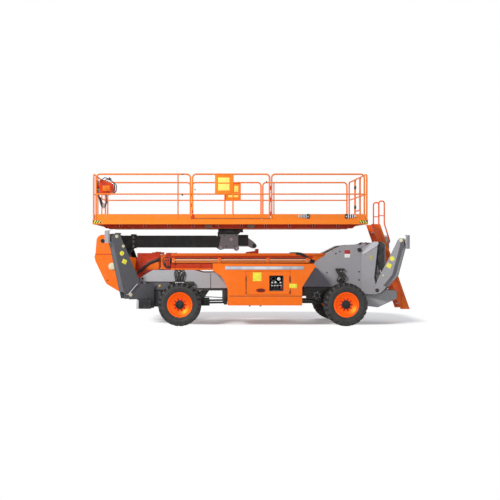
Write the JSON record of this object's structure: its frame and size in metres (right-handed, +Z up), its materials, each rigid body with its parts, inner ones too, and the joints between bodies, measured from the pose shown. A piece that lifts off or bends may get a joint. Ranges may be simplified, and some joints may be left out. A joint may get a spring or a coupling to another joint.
{
  "type": "telescopic boom lift",
  "caption": "Wheeled boom lift with a telescopic boom, a levelled knuckle, a folding upper arm, a wide slewing platform with guard rails, and four folding outriggers.",
  "frame": {"origin": "on the ground under the middle of the machine's bounding box", "axes": "-X is the front, where the boom's knuckle is; +X is the rear, where the ladder is; -Y is the left side; +Z is up"},
  "size_m": [7.906, 2.6478, 3.678],
  "materials": {
    "orange_paint": "satin enamel",
    "red_orange_paint": "satin enamel",
    "light_grey_paint": "satin enamel",
    "dark_grey_paint": "satin enamel",
    "black_paint": "satin enamel",
    "pale_steel": "zinc plated",
    "chromed_rod": "polished",
    "grey_plastic": "matte",
    "tyre_rubber": "matte"
  },
  "bodies": {
    "chassis": {"side_frame_left": "light_grey_paint", "side_frame_right": "light_grey_paint", "front_beam": "dark_grey_paint", "cross_members": "light_grey_paint", "boom_pedestal": "light_grey_paint", "engine_block": "black_paint", "housing_left": "orange_paint", "housing_right": "orange_paint", "front_axle": "black_paint", "rear_axle": "black_paint", "outrigger_brackets_front": "dark_grey_paint", "outrigger_brackets_rear": "light_grey_paint", "access_ladder": "orange_paint", "ground_controls": "grey_plastic"},
    "boom": {"boom_base": "orange_paint", "boom_pipes": "pale_steel"},
    "boom_middle": {"boom_middle": "orange_paint"},
    "boom_tip": {"boom_tip": "red_orange_paint"},
    "knuckle": {"knuckle": "orange_paint"},
    "luff_ram": {"luff_ram": "black_paint"},
    "luff_rod": {"luff_rod": "chromed_rod"},
    "upper_arm": {"upper_arm": "black_paint"},
    "arm_ram": {"arm_ram": "black_paint"},
    "arm_rod": {"arm_rod": "chromed_rod"},
    "platform_mount": {"platform_mount": "black_paint"},
    "platform": {"platform_deck": "orange_paint", "platform_rails": "orange_paint", "control_console": "grey_plastic"},
    "gate_left": {"loading_gate_left": "orange_paint"},
    "gate_right": {"loading_gate_right": "orange_paint"},
    "entry_gate": {"entry_gate": "orange_paint"},
    "door_left": {"door_left": "orange_paint"},
    "door_right": {"door_right": "orange_paint"},
    "outrigger_front_left": {"outrigger_arm_front_left": "dark_grey_paint", "outrigger_foot_front_left": "light_grey_paint"},
    "outrigger_ram_front_left": {"outrigger_ram_front_left": "black_paint"},
    "outrigger_rod_front_left": {"outrigger_rod_front_left": "chromed_rod"},
    "outrigger_rear_left": {"outrigger_arm_rear_left": "light_grey_paint", "outrigger_foot_rear_left": "light_grey_paint"},
    "outrigger_ram_rear_left": {"outrigger_ram_rear_left": "black_paint"},
    "outrigger_rod_rear_left": {"outrigger_rod_rear_left": "chromed_rod"},
    "outrigger_front_right": {"outrigger_arm_front_right": "dark_grey_paint", "outrigger_foot_front_right": "light_grey_paint"},
    "outrigger_ram_front_right": {"outrigger_ram_front_right": "black_paint"},
    "outrigger_rod_front_right": {"outrigger_rod_front_right": "chromed_rod"},
    "outrigger_rear_right": {"outrigger_arm_rear_right": "light_grey_paint", "outrigger_foot_rear_right": "light_grey_paint"},
    "outrigger_ram_rear_right": {"outrigger_ram_rear_right": "black_paint"},
    "outrigger_rod_rear_right": {"outrigger_rod_rear_right": "chromed_rod"},
    "steering_left": {"steering_knuckle_left": "black_paint"},
    "steering_right": {"steering_knuckle_right": "black_paint"},
    "wheel_front_left": {"tyre_front_left": "tyre_rubber", "rim_front_left": "orange_paint"},
    "wheel_rear_left": {"tyre_rear_left": "tyre_rubber", "rim_rear_left": "orange_paint"},
    "wheel_front_right": {"tyre_front_right": "tyre_rubber", "rim_front_right": "orange_paint"},
    "wheel_rear_right": {"tyre_rear_right": "tyre_rubber", "rim_rear_right": "orange_paint"}
  },
  "joints": [
    {"name": "boom_luff", "type": "hinge", "parent": "chassis", "child": "boom", "pos_m": [2.632, 0, 1.842], "axis": [0, 1, 0], "range_deg": [0, 70]},
    {"name": "boom_middle_slide", "type": "slide", "parent": "boom", "child": "boom_middle", "axis": [-1, 0, 0], "range_m": [0, 3.4]},
    {"name": "boom_tip_slide", "type": "slide", "parent": "boom_middle", "child": "boom_tip", "axis": [-1, 0, 0], "range_m": [0, 3.4]},
    {"name": "knuckle_level", "type": "hinge", "parent": "boom_tip", "child": "knuckle", "pos_m": [-3.509, 0, 1.429], "axis": [0, 1, 0], "range_deg": [-70, 0]},
    {"name": "arm_lift", "type": "hinge", "parent": "knuckle", "child": "upper_arm", "pos_m": [-3.745, 0, 2.069], "axis": [0, -1, 0], "range_deg": [0, 70]},
    {"name": "platform_level", "type": "hinge", "parent": "upper_arm", "child": "platform_mount", "pos_m": [-0.77, 0, 1.9], "axis": [0, -1, 0], "range_deg": [-70, 0]},
    {"name": "platform_slew", "type": "hinge", "parent": "platform_mount", "child": "platform", "pos_m": [-0.571, 0, 2.422], "axis": [0, 0, 1], "range_deg": [-90, 90]},
    {"name": "luff_ram_swing", "type": "hinge", "parent": "chassis", "child": "luff_ram", "pos_m": [2.32, 0, 0.93], "axis": [0, 1, 0], "range_deg": [0, 57.36]},
    {"name": "luff_rod_slide", "type": "slide", "parent": "luff_ram", "child": "luff_rod", "axis": [-0.9735, 0, 0.2286], "range_m": [0, 1.1011]},
    {"name": "arm_ram_swing", "type": "hinge", "parent": "knuckle", "child": "arm_ram", "pos_m": [-3.575, 0, 1], "axis": [0, -1, 0], "range_deg": [0, 16.23]},
    {"name": "arm_rod_slide", "type": "slide", "parent": "arm_ram", "child": "arm_rod", "axis": [0.4704, 0, 0.8825], "range_m": [0, 0.6999]},
    {"name": "outrigger_front_left_swing", "type": "hinge", "parent": "chassis", "child": "outrigger_front_left", "pos_m": [-3.05, -0.95, 0.757], "axis": [0.5, -0.866, 0], "range_deg": [0, 98]},
    {"name": "outrigger_ram_front_left_swing", "type": "hinge", "parent": "chassis", "child": "outrigger_ram_front_left", "pos_m": [-2.42213, -0.5875, 0.857], "axis": [0.5, -0.866, 0], "range_deg": [0, 16]},
    {"name": "outrigger_rod_front_left_slide", "type": "slide", "parent": "outrigger_ram_front_left", "child": "outrigger_rod_front_left", "axis": [-0.8357, -0.4825, 0.2625], "range_m": [0, 0.3993]},
    {"name": "outrigger_rear_left_swing", "type": "hinge", "parent": "chassis", "child": "outrigger_rear_left", "pos_m": [3.082, -0.8, 0.857], "axis": [0.5, 0.866, 0], "range_deg": [0, 92]},
    {"name": "outrigger_ram_rear_left_swing", "type": "hinge", "parent": "chassis", "child": "outrigger_ram_rear_left", "pos_m": [3.03004, -0.77, 1.981], "axis": [-0.5, -0.866, 0], "range_deg": [0, 9.91]},
    {"name": "outrigger_rod_rear_left_slide", "type": "slide", "parent": "outrigger_ram_rear_left", "child": "outrigger_rod_rear_left", "axis": [0.1489, -0.0859, -0.9851], "range_m": [0, 0.4076]},
    {"name": "outrigger_front_right_swing", "type": "hinge", "parent": "chassis", "child": "outrigger_front_right", "pos_m": [-3.05, 0.95, 0.757], "axis": [-0.5, -0.866, 0], "range_deg": [0, 98]},
    {"name": "outrigger_ram_front_right_swing", "type": "hinge", "parent": "chassis", "child": "outrigger_ram_front_right", "pos_m": [-2.42213, 0.5875, 0.857], "axis": [-0.5, -0.866, 0], "range_deg": [0, 16]},
    {"name": "outrigger_rod_front_right_slide", "type": "slide", "parent": "outrigger_ram_front_right", "child": "outrigger_rod_front_right", "axis": [-0.8357, 0.4825, 0.2625], "range_m": [0, 0.3993]},
    {"name": "outrigger_rear_right_swing", "type": "hinge", "parent": "chassis", "child": "outrigger_rear_right", "pos_m": [3.082, 0.8, 0.857], "axis": [-0.5, 0.866, 0], "range_deg": [0, 92]},
    {"name": "outrigger_ram_rear_right_swing", "type": "hinge", "parent": "chassis", "child": "outrigger_ram_rear_right", "pos_m": [3.03004, 0.77, 1.981], "axis": [0.5, -0.866, 0], "range_deg": [0, 9.91]},
    {"name": "outrigger_rod_rear_right_slide", "type": "slide", "parent": "outrigger_ram_rear_right", "child": "outrigger_rod_rear_right", "axis": [0.1489, 0.0859, -0.9851], "range_m": [0, 0.4076]},
    {"name": "steer_left", "type": "hinge", "parent": "chassis", "child": "steering_left", "pos_m": [-1.785, -0.78, 0.52], "axis": [0, 0, 1], "range_deg": [-28, 28]},
    {"name": "steer_right", "type": "hinge", "parent": "chassis", "child": "steering_right", "pos_m": [-1.785, 0.78, 0.52], "axis": [0, 0, 1], "range_deg": [-28, 28]},
    {"name": "wheel_front_left_spin", "type": "hinge", "parent": "steering_left", "child": "wheel_front_left", "pos_m": [-1.785, -1.055, 0.522], "axis": [0, 1, 0], "continuous": true},
    {"name": "wheel_rear_left_spin", "type": "hinge", "parent": "chassis", "child": "wheel_rear_left", "pos_m": [2.215, -1.055, 0.522], "axis": [0, 1, 0], "continuous": true},
    {"name": "wheel_front_right_spin", "type": "hinge", "parent": "steering_right", "child": "wheel_front_right", "pos_m": [-1.785, 1.055, 0.522], "axis": [0, 1, 0], "continuous": true},
    {"name": "wheel_rear_right_spin", "type": "hinge", "parent": "chassis", "child": "wheel_rear_right", "pos_m": [2.215, 1.055, 0.522], "axis": [0, 1, 0], "continuous": true},
    {"name": "gate_left_swing", "type": "hinge", "parent": "platform", "child": "gate_left", "pos_m": [-1.477, -1.176, 3.1], "axis": [0, 0, 1], "range_deg": [0, 90]},
    {"name": "gate_right_swing", "type": "hinge", "parent": "platform", "child": "gate_right", "pos_m": [0.335, 1.176, 3.1], "axis": [0, 0, 1], "range_deg": [0, 90]},
    {"name": "entry_gate_swing", "type": "hinge", "parent": "platform", "child": "entry_gate", "pos_m": [2.711, 0.31, 3.1], "axis": [0, 0, -1], "range_deg": [0, 90]},
    {"name": "door_right_swing", "type": "hinge", "parent": "chassis", "child": "door_right", "pos_m": [-0.203, 1.212, 1.045], "axis": [0, 0, 1], "range_deg": [0, 110]},
    {"name": "door_left_swing", "type": "hinge", "parent": "chassis", "child": "door_left", "pos_m": [-0.203, -1.212, 1.045], "axis": [0, 0, -1], "range_deg": [0, 110]}
  ],
  "couplings": [
    {"joint": "boom_tip_slide", "follows": "boom_middle_slide", "ratio": 1},
    {"joint": "knuckle_level", "follows": "boom_luff", "ratio": -1},
    {"joint": "platform_level", "follows": "arm_lift", "ratio": -1},
    {"joint": "luff_ram_swing", "follows": "boom_luff", "ratio": 0.81226},
    {"joint": "luff_rod_slide", "follows": "boom_luff", "m_per_rad": 0.898},
    {"joint": "arm_ram_swing", "follows": "arm_lift", "ratio": 0.22467},
    {"joint": "arm_rod_slide", "follows": "arm_lift", "m_per_rad": 0.5696},
    {"joint": "outrigger_ram_front_left_swing", "follows": "outrigger_front_left_swing", "ratio": 0.15811},
    {"joint": "outrigger_rod_front_left_slide", "follows": "outrigger_front_left_swing", "m_per_rad": 0.23109},
    {"joint": "outrigger_ram_rear_left_swing", "follows": "outrigger_rear_left_swing", "ratio": 0.10234},
    {"joint": "outrigger_rod_rear_left_slide", "follows": "outrigger_rear_left_swing", "m_per_rad": 0.25134},
    {"joint": "outrigger_ram_front_right_swing", "follows": "outrigger_front_right_swing", "ratio": 0.15811},
    {"joint": "outrigger_rod_front_right_slide", "follows": "outrigger_front_right_swing", "m_per_rad": 0.23109},
    {"joint": "outrigger_ram_rear_right_swing", "follows": "outrigger_rear_right_swing", "ratio": 0.10234},
    {"joint": "outrigger_rod_rear_right_slide", "follows": "outrigger_rear_right_swing", "m_per_rad": 0.25134},
    {"joint": "steer_right", "follows": "steer_left", "ratio": 1}
  ]
}
